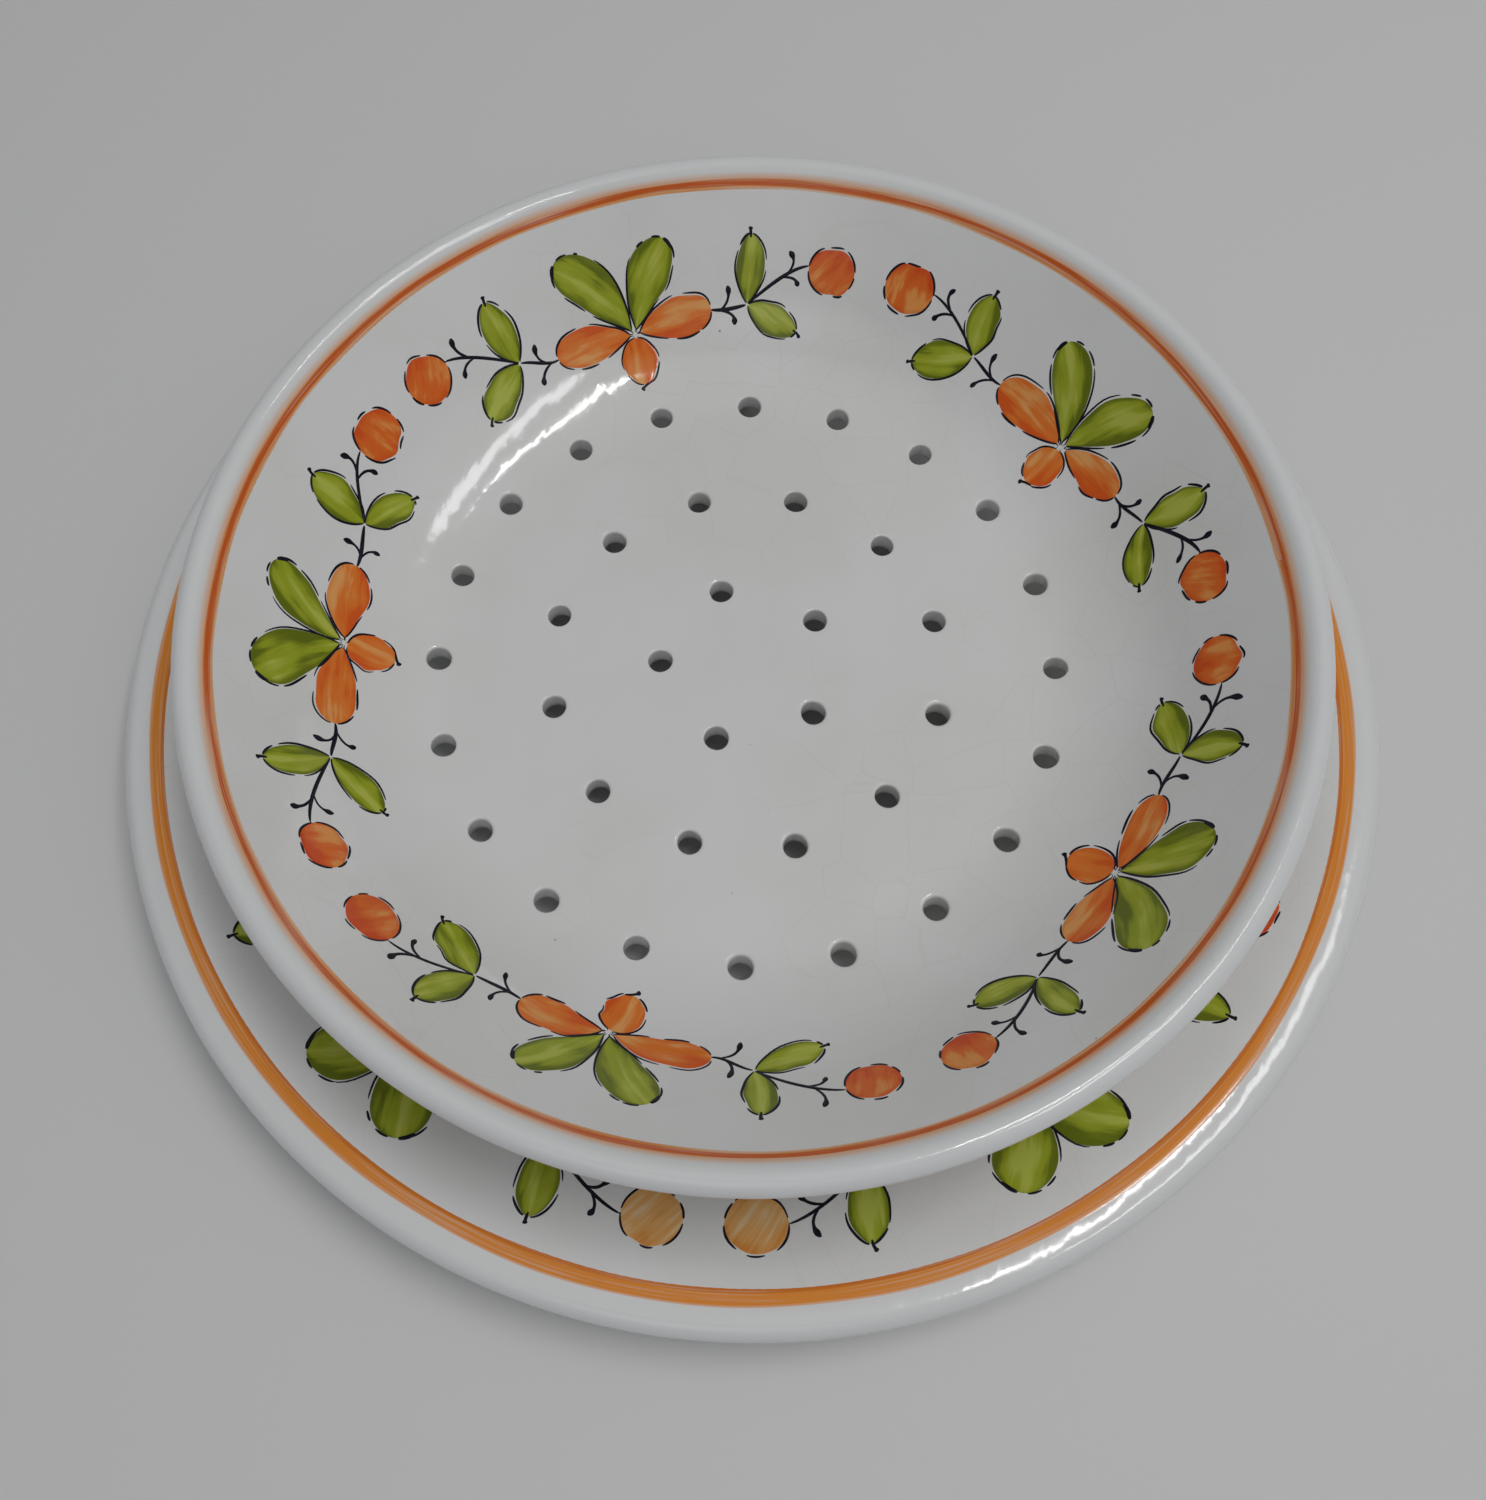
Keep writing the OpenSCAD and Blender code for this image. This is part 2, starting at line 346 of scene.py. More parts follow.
fired_glaze = glaze_group()
plate_glaze = surface("plate_ivory_glaze", fired_glaze, {
    "White": (0.83, 0.837, 0.845, 1), "Cloud": (0.79, 0.792, 0.785, 1), "Lip white": (0.82, 0.832, 0.842, 1),
    "Lip radius": plate_r - 5 * MM, "Specks": 0.7, "Crazing": 0.08, "Roll": 0.28})
bare_clay = surface("wiped_clay", clay_group(), {
    "Clay": (0.66, 0.57, 0.46, 1), "Soil": (0.36, 0.29, 0.22, 1)})
plate_lean, plate_swing = 0.8, 0.16 * MM
plate_points, plate_faces = turned(joined(plate_face, plate_back))
plate_points = out_of_true(plate_points, plate_swing, plate_lean)
plate, _ = mesh_piece("footed_plate", plate_points, plate_faces, [plate_glaze, bare_clay])
wipe_bare(plate, ring_wiped)
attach(plate, "plate")
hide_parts("drip_plate")

# Pierced bowl. One turned bowl of the same clay: a flat floor, an even bend into a straight flared
# wall, and a fat round lip. Its drain holes are punched through the leather-hard floor from inside,
# and the glaze softens every edge of them.
bowl_r = 125 * MM
bowl_wall = 5.5 * MM
bowl_lip_r = 3.3 * MM
bowl_slope = 48.0
bowl_bend_r = 42 * MM
floor_z = 23.2 * MM
bowl_top = 59.8 * MM
hole_r = 2.82 * MM
hole_ease = 0.5 * MM
under_ease = 0.35 * MM
hole_reach = 5.5 * MM
punch_slip = 0.16 * MM
bore_spread = 0.05 * MM
ease_spread = (-0.12 * MM, 0.3 * MM)
hole_oval, hole_three = 0.012, 0.009
bowl_lean, bowl_swing = 2.1, 0.16 * MM
slope_cos, slope_sin = way(bowl_slope)
bowl_lip_c = np.array([bowl_r - bowl_lip_r, bowl_top - bowl_lip_r])
wall_top = bowl_lip_c + bowl_lip_r * way(90 + bowl_slope)
wall_foot_z = floor_z + bowl_bend_r * (1 - slope_cos)
wall_foot = np.array([wall_top[0] - (wall_top[1] - wall_foot_z) * slope_cos / slope_sin, wall_foot_z])
floor_r = wall_foot[0] - bowl_bend_r * slope_sin
bowl_bend_c = np.array([floor_r, floor_z + bowl_bend_r])
outer_foot = bowl_bend_c + (bowl_bend_r + bowl_wall) * way(bowl_slope - 90)
lip_under = bowl_slope - 90 - math.degrees(math.acos((bowl_wall - bowl_lip_r) / bowl_lip_r))
lip_end = bowl_lip_c + bowl_lip_r * way(lip_under)

# Rings of holes: radius, first angle and how many, and the radii that part the rings' patches of floor
ring_r = (floor_r + hole_reach) * np.array([1, 0.637, 0.276])
hole_rings = [(ring_r[0], 13, 20), (ring_r[1], 10, 12), (ring_r[2], 30, 5)]
cell_edges = np.array([87, 61, 34, 8]) * MM


def bowl_height(r, below=0.0):
    """Height of the bowl's inner face at radius r: level out to the floor's edge, then on the bend's
    circle. With below, the face that lies that far under it."""
    reach = bowl_bend_r + below
    return bowl_bend_c[1] - np.sqrt(reach**2 - np.clip(r - floor_r, 0, reach) ** 2)


def on_face(points, below=0.0):
    """The points, moved straight up or down to the bowl's inner face or to the face below it."""
    height = bowl_height(np.linalg.norm(points[..., :2], axis=-1), below)
    return np.concatenate([points[..., :2], height[..., None]], -1)


def hole_cells(centre_r, first, count, inner, outer, rng):
    """Points and faces of the floor round each hole of one ring, through the hole and back below.

    A cell is the patch of floor between two radii and two angles. Its edge is a loop of points on whole
    degrees, so that neighbours share them. Rings of points run straight from it over the floor to the
    hole's mouth, over the mouth's round edge, down the bore, which is square to the floor, over a
    smaller edge, and out below to the same loop."""
    half = 180 // count
    side = np.linspace(outer, inner, 11)[1:-1]
    turns = np.arange(-half, half + 1)
    four_sides = (outer, turns), (side, half), (inner, turns[::-1]), (side[::-1], -half)
    loop_r, loop_at = np.hstack([np.broadcast_arrays(*pair) for pair in four_sides])
    at = np.radians(first + np.arange(count) * 360 / count)[:, None]
    loop = at_angle(loop_r, at + np.radians(loop_at), 0)
    middle_r = centre_r + rng.normal(0, punch_slip, (count, 1))
    at = at + rng.normal(0, punch_slip, (count, 1)) / centre_r
    bore = hole_r + rng.normal(0, bore_spread, (count, 1))
    ease = hole_ease + rng.uniform(*ease_spread, (count, 1))
    away, across = at_angle(1, at, 0), at_angle(1, at + math.pi / 2, 0)
    offset = loop - middle_r[..., None] * away
    turn = np.arctan2((offset * across).sum(-1), (offset * away).sum(-1))
    tilt = np.arcsin(np.clip(middle_r - floor_r, 0, None) / bowl_bend_r)
    square = at_angle(-np.sin(tilt), at, np.cos(tilt))
    uphill = at_angle(np.cos(tilt), at, np.sin(tilt))
    spoke = np.cos(turn)[..., None] * uphill + np.sin(turn)[..., None] * across
    oval, three = rng.uniform(0, 6.3, (count, 1)), rng.uniform(0, 6.3, (count, 1))
    shape = 1 + hole_oval * np.cos(2 * turn + oval) + hole_three * np.cos(3 * turn + three)
    middle = at_angle(middle_r, at, bowl_height(middle_r))
    mouth = on_face(middle + ((bore + ease) * shape)[..., None] * spoke)
    below = middle - bowl_wall * square
    exit_edge = on_face(below + ((bore + under_ease) * shape)[..., None] * spoke, bowl_wall)
    rings = [on_face(loop + share * (mouth - loop)) for share in (0, 0.3, 0.56, 0.76, 0.9)]
    for lean in np.radians([0, 16, 34, 52, 70, 90]):
        rings.append(mouth - ease[..., None] * (np.sin(lean) * spoke + (1 - np.cos(lean)) * square))
    top, bottom = rings[-1], exit_edge - under_ease * spoke + under_ease * square
    rings += [top + share * (bottom - top) for share in (0.33, 0.67)]
    for lean in np.radians([90, 45, 0]):
        rings.append(exit_edge - under_ease * (np.sin(lean) * spoke - (1 - np.cos(lean)) * square))
    rings += [on_face(loop + share * (exit_edge - loop), bowl_wall) for share in (0.75, 0.4, 0)]
    points = np.stack(rings, 1)
    return points.reshape(-1, 3), ring_faces(points, turned_over=True)


bowl_rng = np.random.default_rng(7)
bowl_parts = [hole_cells(r, first, count, cell_edges[k + 1], cell_edges[k], bowl_rng)
              for k, (r, first, count) in enumerate(hole_rings)]
inner_reach, outer_reach = (math.degrees(math.asin((cell_edges[0] - floor_r) / radius))
                            for radius in (bowl_bend_r, bowl_bend_r + bowl_wall))
bowl_parts.append(turned(joined(
    bend(bowl_bend_c, bowl_bend_r, inner_reach - 90, bowl_slope - 90, 1.4 * MM),
    straight(wall_foot, wall_top, 2 * MM),
    bend(bowl_lip_c, bowl_lip_r, 90 + bowl_slope, lip_under, 0.5 * MM),
    straight(lip_end, outer_foot, 3 * MM),
    bend(bowl_bend_c, bowl_bend_r + bowl_wall, bowl_slope - 90, outer_reach - 90, 2.5 * MM))))
hub_r, under_z = cell_edges[-1], floor_z - bowl_wall
bowl_parts.append(turned(straight((0, floor_z), (hub_r, floor_z), 4 * MM)))
bowl_parts.append(turned(straight((hub_r, under_z), (0, under_z), 4 * MM)))
starts = np.cumsum([0] + [len(points) for points, _ in bowl_parts])
bowl_points = out_of_true(np.concatenate([points for points, _ in bowl_parts]), bowl_swing, bowl_lean)
bowl_faces = np.concatenate([faces + start for (_, faces), start in zip(bowl_parts, starts)])
bowl_glaze = surface("bowl_ivory_glaze", fired_glaze, {
    "White": (0.82, 0.827, 0.835, 1), "Cloud": (0.78, 0.782, 0.775, 1), "Lip white": (0.82, 0.832, 0.842, 1),
    "Lip radius": bowl_r - 5 * MM, "Specks": 0.8, "Crazing": 0.08, "Roll": 0.3})
bowl, _ = mesh_piece("pierced_bowl", bowl_points, bowl_faces, [bowl_glaze])
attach(bowl, "colander")
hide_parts("colander_bowl")

# Feet. Three small buttons of clay, each pinched round and pressed on under the bend with slip, which
# leaves a soft fillet where it meets the bowl. Their bases are wiped bare and stand on the plate.
foot_ring_r = 87.53 * MM
foot_base_r = 7.75 * MM
foot_edge = 2.6 * MM
foot_draft = 6
foot_fillet = 1.1 * MM
foot_sunk = 0.4 * MM
foot_wiped = 0.3 * MM
foot_places = {"back_foot": 90, "left_foot": 210, "right_foot": 330}
foot_glaze = surface("foot_ivory_glaze", fired_glaze, {
    "White": (0.77, 0.765, 0.735, 1), "Cloud": (0.71, 0.70, 0.66, 1), "Lip white": (0.80, 0.80, 0.78, 1),
    "Lip radius": bowl_r, "Specks": 0.8, "Crazing": 0.1, "Roll": 0.4})


def button_foot(at, sides=96):
    """Points and faces of a tapered button about an upright axis. Rings of points run from the middle of
    the base over its round edge and up a drafted side, then flare by a small quarter circle into the
    bowl's underside, whose height is worked out at each point's own distance from the bowl's axis."""
    turn = np.arange(sides) * 2 * math.pi / sides
    middle = foot_ring_r * way(at)
    edge_c = (foot_base_r - foot_edge, well_z + foot_edge)
    base = joined(straight((0, well_z), (foot_base_r - foot_edge, well_z), 1.2 * MM),
                  bend(edge_c, foot_edge, -90, -foot_draft, 0.4 * MM))
    rings = [at_angle(r, turn, z) for r, z in base]
    side_r, side_z = base[-1]

    def underside(r):
        over = at_angle(r, turn, 0)[:, :2] + middle
        return bowl_height(np.linalg.norm(over, axis=1), bowl_wall)

    top = underside(side_r)
    for share in np.linspace(0, 1, 8)[1:]:
        z = side_z + share * (top - foot_fillet - side_z)
        neck_r = side_r + (z - side_z) * math.tan(math.radians(foot_draft))
        rings.append(at_angle(neck_r, turn, z))
    for lift in np.radians([22, 45, 68, 90]):
        r = neck_r + foot_fillet * (1 - np.cos(lift))
        z = top - foot_fillet + (foot_fillet + underside(r) - top) * np.sin(lift)
        rings.append(at_angle(r, turn, z))
    rings += [at_angle(r, turn, z + foot_sunk), at_angle(0, turn, z.mean() + foot_sunk)]
    points = np.stack(rings)
    points[..., :2] += middle
    return points.reshape(-1, 3), ring_faces(points, turned_over=True)


for cad_name, at in foot_places.items():
    foot, _ = mesh_piece("glazed_" + cad_name, *button_foot(at), [foot_glaze, bare_clay])
    wipe_bare(foot, well_z + foot_wiped)
    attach(foot, "colander")
    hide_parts(cad_name)

# Rim bands. The painter holds a loaded brush against the turning piece, so each band is a thin skin of
# colour with fine rings in it. The bowl's has an orange-red core with a pale wash on both sides of it,
# and the plate's is one even amber stripe.
bowl_face = joined(
    straight((0, floor_z), (floor_r, floor_z), 1 * MM),
    bend(bowl_bend_c, bowl_bend_r, -90, bowl_slope - 90, 0.4 * MM),
    straight(wall_foot, wall_top, 0.5 * MM),
    bend(bowl_lip_c, bowl_lip_r, 90 + bowl_slope, 0, 0.1 * MM))
bowl_surface = {"face": bowl_face, "lean": bowl_lean, "swing": bowl_swing, "body": "colander"}
plate_surface = {"face": plate_face, "lean": plate_lean, "swing": plate_swing, "body": "plate"}
edge_sunk = 0.03 * MM
band_thick = 0.05 * MM
band_under = 0.08 * MM
band_wander = 0.05 * MM
band_lobes = (1, 2, 3, 5, 8, 13, 21)
streak_r = 120


def on_glaze(ground, turn, along, height):
    """Points at an angle round a piece, a distance along its face from the axis, and a height over its
    glaze. The face's section gives radius and level at that distance, and its slope the way out."""
    face = ground["face"]
    length = np.r_[0, np.cumsum(np.linalg.norm(np.diff(face, axis=0), axis=1))]
    slope = np.gradient(face, length, axis=0)
    r, z, run_r, run_z = (np.interp(along, length, values) for values in (*face.T, *slope.T))
    size = np.hypot(run_r, run_z)
    points = at_angle(r - height * run_z / size, turn, z + height * run_r / size)
    return out_of_true(points, ground["swing"], ground["lean"])


def closed_skin(name, ground, top, bottom, notes, material, round_again=False):
    """A thin closed skin from two grids (K, n, m, 3) that share their edges. notes are vectors for the
    top's points, which both sides keep as named attributes."""
    size = top[..., 0].size
    index = np.arange(size).reshape(top.shape[:3])
    if round_again:
        index = np.concatenate([index, index[:, :1]], 1)
    before, after = index[:, :-1], index[:, 1:]
    faces = np.stack([before[..., :-1], after[..., :-1], after[..., 1:], before[..., 1:]], -1).reshape(-1, 4)
    points = np.concatenate([top.reshape(-1, 3), bottom.reshape(-1, 3)])
    piece, rows = mesh_piece(name, points, np.concatenate([faces, faces[:, ::-1] + size]), [material])
    for label, values in notes.items():
        held = piece.data.attributes.new(label, "FLOAT_VECTOR", "POINT")
        held.data.foreach_set("vector", values.reshape(-1, 3)[rows % size].astype(np.float32).ravel())
    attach(piece, ground["body"])


def note(tree, label):
    """The three numbers of a named attribute, as wires, and the attribute itself."""
    whole = node(tree, "Attribute", output="Vector", attribute_name=label)
    first = node(tree, "SeparateXYZ", [(0, whole)])
    return first, first.beside(1), first.beside(2), whole


def vector(*numbers):
    """A vector of three numbers, of which the first is a wire."""
    return node(numbers[0].tree, "CombineXYZ", enumerate(numbers))


def band_group():
    """A brushed stripe. A strong core runs along it, a wash lies on the rest of it and thins out to bare
    glaze at both edges, fine rings part the colour, and the brush's load comes and goes."""
    tree, given = new_group("brushed_band", ["Glaze", "Wash", "Core"],
                            ["Core place", "Core width", "Inner fade", "Outer fade"])
    along, across, number, _ = note(tree, "stroke")
    rings = noise(vector(along * 0.03, across * 5.0, number), scale=1.0, detail=3.0, roughness=0.6) - 0.5
    load = noise(vector(along * 0.022, number, 0.0), scale=1.0, detail=2.0) - 0.5
    off_core = abs(across + load * 0.3 - given["Core place"])
    core = maths(tree, "SUBTRACT", 1.0, off_core / given["Core width"], clamp=True)
    colour = laid_over(given["Wash"], given["Core"], steps(core + rings * 1.3, 0.05, 0.7))
    edge = across + rings * 0.5
    inner = steps(edge, -1.0, given["Inner fade"] - 1.0)
    outer = steps(edge, 1.0, maths(tree, "SUBTRACT", 1.0, given["Outer fade"]))
    cover = maths(tree, "MULTIPLY", inner * outer, rings * 1.6 + 1.0, clamp=True)
    return finished_group(tree, Color=laid_over(given["Glaze"], colour, cover))


def rim_band(name, ground, start, stop, material, rng, sides=720, rows=13):
    """A skin all round a piece from start to stop along its face. Both edges wander by smooth waves, as a
    hand does, and its height over the glaze is a flat arch that sinks below it at the edges."""
    turn = np.arange(sides)[:, None] * 2 * math.pi / sides
    across = np.linspace(-1, 1, rows)
    edges = [middle + sum(rng.normal(0, band_wander) * np.cos(lobes * turn + rng.uniform(0, 6.3))
                          for lobes in band_lobes) for middle in (start, stop)]
    along = edges[0] + (across + 1) / 2 * (edges[1] - edges[0])
    over = (1 - across**4) * band_thick - edge_sunk
    under = np.where(np.abs(across) == 1, -edge_sunk, -band_under)
    top, bottom = (on_glaze(ground, -turn, along, height)[None] for height in (over, under))
    stroke = np.stack(np.broadcast_arrays(turn * streak_r, across, rng.uniform(0, 9)), -1)
    closed_skin(name, ground, top, bottom, {"stroke": stroke}, material, round_again=True)


paint_shine = {"Roughness": 0.1, "Specular IOR Level": 0.35}
brushed_band = band_group()
bowl_band_paint = surface("orange_band_paint", brushed_band, {
    "Glaze": (0.82, 0.825, 0.83, 1), "Wash": (0.81, 0.36, 0.12, 1), "Core": (0.66, 0.12, 0.012, 1),
    "Core place": -0.19, "Core width": 0.4, "Inner fade": 0.5, "Outer fade": 1.15}, paint_shine)
plate_band_paint = surface("amber_band_paint", brushed_band, {
    "Glaze": (0.82, 0.825, 0.83, 1), "Wash": (0.86, 0.29, 0.03, 1), "Core": (0.72, 0.20, 0.02, 1),
    "Core place": -0.62, "Core width": 0.3, "Inner fade": 0.22, "Outer fade": 0.5}, paint_shine)
band_rng = np.random.default_rng(21)
rim_band("bowl_band", bowl_surface, 127.9 * MM, 133.2 * MM, bowl_band_paint, band_rng)
rim_band("plate_band", plate_surface, 141.4 * MM, 146.1 * MM, plate_band_paint, band_rng)

# Garlands. Five sprays of two leaves and three petals, joined by thin stems with curled tendrils, small
# leaves and round berries in pairs, painted by hand all round each piece. Each leaf, petal and berry is
# one or two strokes of a full brush, and a fine brush of dark ink goes round them in broken lines.
BLADE_POINTS, BLADE_ROWS = 28, 11
LINE_POINTS, LINE_ROWS = 16, 5
line_t = np.linspace(0, 1, LINE_POINTS)
first_u = 0.0012
waver = 0.026
dash_slip = 0.018
brush_thick = 0.075 * MM
ink_thick = 0.1 * MM
paint_under = 0.07 * MM
thinnest = 0.05 * MM
bowl_scale_r, bowl_node_at = 104 * MM, 96.8 * MM
plate_scale_r, plate_node_at = 130 * MM, 115.7 * MM

# The bowl's sprays, in millimetres on the unrolled wall: x along the rim from the spray's middle, and y
# towards the rim. A leaf or petal is its tip and half width, and a berry its middle and radius
bowl_marks = {
    "angle": [103.3, 31, -39.4, -111.9, 175.4],
    "node": [(-0.3, 0), (0, 0.6), (-0.9, 3.2), (-0.2, 0), (0, 0)],
    "leaf": [[(-15.8, 22.5, 5.9), (11.2, 22, 5.4)], [(-15.9, 20.5, 5.3), (11, 22, 5.6)],
             [(-14.8, 21.5, 5.9), (14.9, 22.4, 5.8)], [(-14, 19.9, 5.9), (13, 20.4, 5.2)],
             [(-13.9, 22, 6.4), (13.2, 20.9, 5.1)]],
    "petal": [[(-23.6, 0.6, 5), (22, 3, 5.4)], [(-24.5, 2.8, 5.4), (20.5, 3.6, 4.5)],
              [(-23, 4.9, 4.3), (19.6, 4.7, 5)], [(-24.6, 1.2, 4.3), (21.4, 1.9, 5)],
              [(-23.2, 2.1, 5.4), (22, 1.6, 5.4)]],
    "drop": [(-1.4, -12.9, 5), (0.1, -10.9, 5), (-0.6, -8.8, 4.9), (-2.4, -11.6, 5.1), (-1.9, -12.6, 5.1)],
    "fork": [[(-33.9, 4.2), (31.9, 3.9)], [(-34.9, 5.2), (31, 6.3)], [(-33.4, 7.7), (31, 6.7)],
             [(-34.2, 5), (33, 3.7)], [(-32.6, 4.5), (33.3, 4)]],
    "outer": [[(-35, 21.3, 4.2), (32.8, 21.3, 3.7)], [(-37, 20.3, 4), (32.7, 22.4, 4.1)],
              [(-34.5, 22.2, 3.8), (32.9, 22.3, 3.4)], [(-35.1, 20.4, 3.5), (36.1, 20.8, 4)],
              [(-34.2, 22, 3.8), (35.8, 20.9, 4.8)]],
    "inner": [[(-49.6, -3.6, 4.7), (46.2, -2.2, 4)], [(-50, -2.2, 4.9), (46, -0.2, 3.6)],
              [(-48, 1.6, 4.2), (45.6, 3, 3.9)], [(-50.4, -0.8, 3.9), (49, -1.5, 4.5)],
              [(-48.9, -3.9, 4), (47.8, -3, 4)]],
    "berry": [[(-57.1, 14, 6.1), (53.6, 13.5, 5.9)], [(-57.3, 14, 6.3), (51.4, 15.2, 5.9)],
              [(-55.6, 15.2, 5.8), (53.8, 14.6, 5.8)], [(-57.8, 14.1, 5.7), (56.5, 13.5, 6.3)],
              [(-55.8, 14.4, 5.8), (54.4, 13.6, 6.3)]],
}

# The plate's spray is wider. The same one goes round five times
plate_marks = {
    "angle": [-134, -62.5, 9.5, 81.5, 153.5],
    "node": [(0, -2.4)],
    "leaf": [[(-13.6, 19.6, 7.2), (14, 19.4, 7.2)]],
    "petal": [[(-28.8, -1.6, 6.2), (28.4, -1.4, 6.2)]],
    "drop": [(-1.2, -15.8, 6)],
    "fork": [[(-42.4, 1.8), (42.4, 1.6)]],
    "outer": [[(-45.6, 20.4, 4.6), (45.9, 19.6, 4.7)]],
    "inner": [[(-59.5, -5.2, 5), (59.5, -5.4, 5)]],
    "berry": [[(-70.5, 12.9, 6.8), (69.2, 12.1, 6.9)]],
}

# How full each kind of stroke is at its root and its end, how many millimetres it starts from its stem
# and sways, and where the ink runs on its two sides, in shares of the way from the root to the tip
blade_kinds = {
    "leaf": (0.95, 0.52, 1.3, 0.9, [(0, 0.66), (0.7, 0.8), (0.84, 0.95)],
             [(0, 0.44), (0.49, 0.7), (0.75, 0.92)]),
    "petal": (0.85, 0.5, 1.5, 0.5, [(0, 0.52), (0.57, 1)], [(0, 0.42), (0.48, 0.7), (0.75, 1)]),
    "drop": (0.52, 0.5, 0.8, 0, [(0, 0.6), (0.66, 0.95)], [(0, 0.5), (0.56, 0.88)]),
    "outer": (0.8, 0.68, 0.4, -0.5, [(0, 0.68), (0.73, 1)], [(0, 0.5), (0.56, 1)]),
    "inner": (0.74, 0.62, 0.4, -0.5, [(0, 0.6), (0.66, 1)], [(0, 0.8), (0.85, 1)]),
    "berry": (0.5, 0.5, 0, 0, [(0, 0.34), (0.42, 0.6), (0.68, 1)],
              [(0, 0.46), (0.53, 0.74), (0.8, 1)]),
}


def all_sprays(marks, rng):
    """The marks as arrays with one row for each spray. Where one spray is given for all, each but the
    first two gets a painter's small shifts."""
    count = len(marks["angle"])
    rows = {}
    for kind, values in marks.items():
        values = np.array(values, float)
        if len(values) == 1:
            values = np.repeat(values, count, 0)
            values[2:] += rng.normal(0, 0.3, values[2:].shape) * [1, 1, 0.4][:values.shape[-1]]
        rows[kind] = values
    return rows


def unit(ways):
    """The ways made one long. A way of no length stays so."""
    return ways / (np.linalg.norm(ways, axis=-1, keepdims=True) + 1e-12)


def leftward(ways):
    """Unit vectors a quarter turn to the left of ways."""
    ways = unit(ways)
    return np.stack([-ways[..., 1], ways[..., 0]], -1)


def blades(base, tip, half, root, end, sway, rng):
    """Strokes of a full brush on a flat sheet. u runs from 0 at the base to 1 at the tip. The middle line
    is straight but for a sideways sway of 4u(1 - u). The half width is u^root (1 - u)^end, scaled to half
    at its widest, and both edges waver by waves along u. Returns u, middle lines (K, n, 2), the
    directions to their left, and the half widths to the left and right (K, n)."""
    u = np.clip((1 - np.cos(np.pi * np.linspace(0, 1, BLADE_POINTS))) / 2, first_u, 1 - first_u)
    line = (tip - base)[:, None]
    middle = base[:, None] + u[:, None] * line + (sway[:, None] * 4 * u * (1 - u))[..., None] * leftward(line)
    widest = root / (root + end)
    full = half[:, None] * u**root * (1 - u) ** end / (widest**root * (1 - widest) ** end)

    def wavering():
        waves = sum(rng.normal(0, waver, (len(base), 1))
                    * np.sin((k + 1.6) * np.pi * u + rng.uniform(0, 6.3, (len(base), 1))) for k in range(4))
        return np.maximum(full * (1 + waves), thinnest)

    return u, middle, leftward(np.gradient(middle, axis=1)), wavering(), wavering()


def painted(name, ground, scale_r, strokes, rows, thick, material, numbers, grain):
    """Skins of paint from flat strokes, wrapped on the glaze: x becomes an angle at scale_r, and y the
    distance along the face. Heights arch over a stroke and sink under the glaze at its edges. Each point
    keeps how far it lies along and across its stroke, turned by the grain angle, for the streaks."""
    middle, side, left, right = strokes
    across = np.sin(np.linspace(-math.pi / 2, math.pi / 2, rows))
    u = np.linspace(0, 1, middle.shape[1])[:, None]
    reach = np.where(across > 0, left[..., None], right[..., None]) * across
    flat = middle[:, :, None] + reach[..., None] * side[:, :, None]
    turn, along = -flat[..., 0] / scale_r, flat[..., 1]
    arch = (1 - across**16) * (1 - np.abs(2 * u - 1) ** 16)
    top = on_glaze(ground, turn, along, thick * arch - edge_sunk)
    bottom = on_glaze(ground, turn, along, np.where(arch < 1e-9, -edge_sunk, -paint_under))
    run = np.cumsum(np.linalg.norm(np.diff(middle, axis=1, prepend=middle[:, :1]), axis=2), axis=1)
    run = (run - run[:, -1:] / 2)[..., None]
    cos, sin = np.cos(grain)[:, None, None], np.sin(grain)[:, None, None]
    stroke = ((run * cos + reach * sin) / MM, (reach * cos - run * sin) / MM, numbers[:, None, None])
    place = (u, across, np.maximum(np.abs(across), np.abs(2 * u - 1) ** 3), reach)
    notes = {"stroke": np.stack(np.broadcast_arrays(*stroke), -1),
             "place": np.stack(np.broadcast_arrays(*place)[:3], -1)}
    closed_skin(name, ground, top, bottom, notes, material)


def paint_group():
    """Colour laid by a full brush: soft streaks along the stroke between a thin and a thick coat, a
    thicker side, and more colour where it pooled along the edge."""
    tree, given = new_group("brush_paint", ["Thin", "Body", "Thick"],
                            ["Streak width", "Streak length", "Pooling", "Lean"])
    run, off, number, stroke = note(tree, "stroke")
    _, across, to_edge, _ = note(tree, "place")
    number = number * 3.7
    streak_at = vector(run * given["Streak length"], off / given["Streak width"], number)
    streak = noise(streak_at, scale=1.0, detail=3.5, roughness=0.55)
    cloud_at = node(tree, "VectorMath", [(0, stroke), (1, (0.10, 0.14, 5.3))], operation="MULTIPLY")
    cloud = noise(cloud_at, scale=1.0, detail=1.0)
    leaning = across * maths(tree, "SINE", number * 2.3) * given["Lean"]
    rising = (abs(across) - 0.42) * given["Pooling"] * 0.24
    coat = streak * 0.55 + cloud * 0.45 + leaning + rising
    colour = laid_over(given["Thin"], given["Body"], steps(coat, 0.36, 0.5))
    colour = laid_over(colour, given["Thick"], steps(coat, 0.5, 0.66))
    pooled = steps(to_edge + cloud * 0.4, 0.84, 1.12) * given["Pooling"]
    return finished_group(tree, Color=laid_over(colour, given["Thick"], pooled))


def cubic(knots, t=line_t):
    """Points at t on a cubic curve through the first and last of four knots."""
    weight = np.stack([(1 - t) ** 3, 3 * t * (1 - t) ** 2, 3 * t**2 * (1 - t), t**3], 1)
    return weight @ np.array(knots, float)


